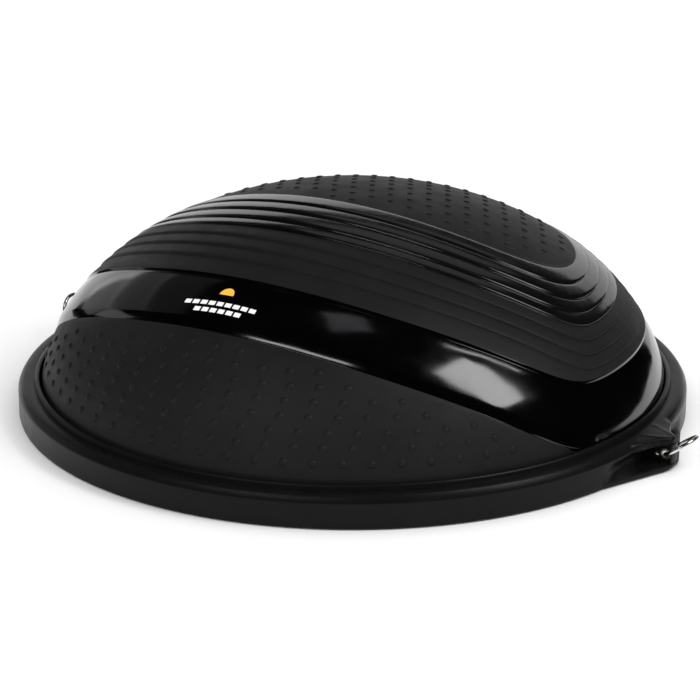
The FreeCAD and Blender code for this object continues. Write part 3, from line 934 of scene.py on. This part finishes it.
# ---- stage, lights and camera ----------------------------------------------------------------------
VIEW_AZIMUTH = math.radians(31.8)
VIEW_ELEVATION = math.radians(19.61)
VIEW_DISTANCE = 2.2984
VIEW_TARGET = Vector((-0.00193, -0.00119, 0.04615))
VIEW_LENS = 131.15
SENSOR_WIDTH = 36.0
CLIP_END = 50.0
WORLD_STRENGTH = 1.02
# The floor ends near the object on the right and behind, where the band would mirror it.
FLOOR_LEFT, FLOOR_RIGHT = -1.2, 0.48
FLOOR_FRONT, FLOOR_BACK = -1.5, 0.62


def make_floor():
    mesh = bpy.data.meshes.new("floor")
    corners = [
        (FLOOR_LEFT, FLOOR_FRONT, 0.0),
        (FLOOR_RIGHT, FLOOR_FRONT, 0.0),
        (FLOOR_RIGHT, FLOOR_BACK, 0.0),
        (FLOOR_LEFT, FLOOR_BACK, 0.0),
    ]
    mesh.from_pydata(corners, [], [(0, 1, 2, 3)])
    material, tree, shader = new_material("floor_paint", (0.79, 0.79, 0.79), 0.9, specular=0.1)
    vary_colour(tree, shader, 3.0, (0.78, 0.78, 0.78), (0.8, 0.8, 0.8))
    mesh.materials.append(material)
    floor = bpy.data.objects.new("floor", mesh)
    bpy.context.scene.collection.objects.link(floor)


LIGHT_AIM = Vector((0.0, 0.0, 0.08))


def area_light(name, azimuth, elevation, distance, width, height, power, colour=(1.0, 1.0, 1.0)):
    """A soft light; azimuth is counted from +X towards +Y, both angles in degrees."""
    azimuth, elevation = math.radians(azimuth), math.radians(elevation)
    away = Vector((
        math.cos(azimuth) * math.cos(elevation),
        math.sin(azimuth) * math.cos(elevation),
        math.sin(elevation),
    ))
    data = bpy.data.lights.new(name, "AREA")
    data.shape = "RECTANGLE"
    data.size = width
    data.size_y = height
    data.energy = power
    data.color = colour
    light = bpy.data.objects.new(name, data)
    light.location = LIGHT_AIM + away * distance
    light.rotation_euler = away.to_track_quat("Z", "Y").to_euler()
    bpy.context.scene.collection.objects.link(light)


def make_lights():
    world = bpy.data.worlds.new("studio")
    world.use_nodes = True
    background = world.node_tree.nodes["Background"]
    background.inputs["Color"].default_value = (1.0, 1.0, 1.0, 1.0)
    background.inputs["Strength"].default_value = WORLD_STRENGTH
    bpy.context.scene.world = world
    world.cycles_visibility.glossy = False
    # azimuth, elevation, distance, width, height, power
    area_light("key_softbox", 4.0, 45.0, 2.2, 0.62, 1.1, 19.0)
    area_light("strip_light", 31.0, 53.0, 2.2, 0.1, 0.9, 2.0)
    area_light("top_softbox", 127.0, 87.0, 2.4, 0.42, 0.5, 0.5, colour=(0.96, 0.9, 1.0))
    area_light("front_strip", -92.0, 40.0, 2.2, 1.3, 0.2, 6.0)
    area_light("back_high", 108.0, 47.0, 2.6, 1.6, 1.2, 1.5)
    area_light("back_wall", 119.0, 8.0, 3.4, 4.6, 2.0, 25.0)
    area_light("left_edge", 190.0, 13.0, 2.6, 0.9, 0.6, 1.2)
    area_light("left_low", 165.0, 12.0, 2.6, 1.2, 0.75, 1.1)
    area_light("left_middle", 167.0, 26.0, 2.6, 1.2, 0.72, 0.55)
    area_light("left_high", 170.0, 40.0, 2.6, 1.2, 0.75, 0.24)


def make_camera():
    data = bpy.data.cameras.new("camera")
    data.lens = VIEW_LENS
    data.sensor_width = SENSOR_WIDTH
    data.clip_end = CLIP_END
    camera = bpy.data.objects.new("camera", data)
    away = Vector((
        math.sin(VIEW_AZIMUTH) * math.cos(VIEW_ELEVATION),
        -math.cos(VIEW_AZIMUTH) * math.cos(VIEW_ELEVATION),
        math.sin(VIEW_ELEVATION),
    ))
    camera.location = VIEW_TARGET + away * VIEW_DISTANCE
    camera.rotation_euler = away.to_track_quat("Z", "Y").to_euler()
    bpy.context.scene.collection.objects.link(camera)
    bpy.context.scene.camera = camera


def paint(node, material):
    """Gives a CAD node a better material."""
    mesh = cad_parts[node].data
    mesh.materials.clear()
    mesh.materials.append(material)


bpy.context.scene.view_settings.view_transform = "Standard"
make_camera()
make_floor()
make_lights()
dome_skin()
emblem()
clamp_rim()
for ring_side, ring_direction in (("right", 1.0), ("left", -1.0)):
    wire_ring(ring_side, ring_direction)
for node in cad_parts:
    if node.startswith("foot_"):
        paint(node, FOOT_RUBBER)
    elif node.startswith(("eyelet", "ear_screw")):
        paint(node, BRIGHT_METAL)
paint("base_plate", PLATFORM_PLASTIC)
paint("rim_screws", SCREW_STEEL)
paint("valve_body", VALVE_VINYL)
paint("valve_plug", VALVE_VINYL)
paint("dome_floor", MATT_VINYL)
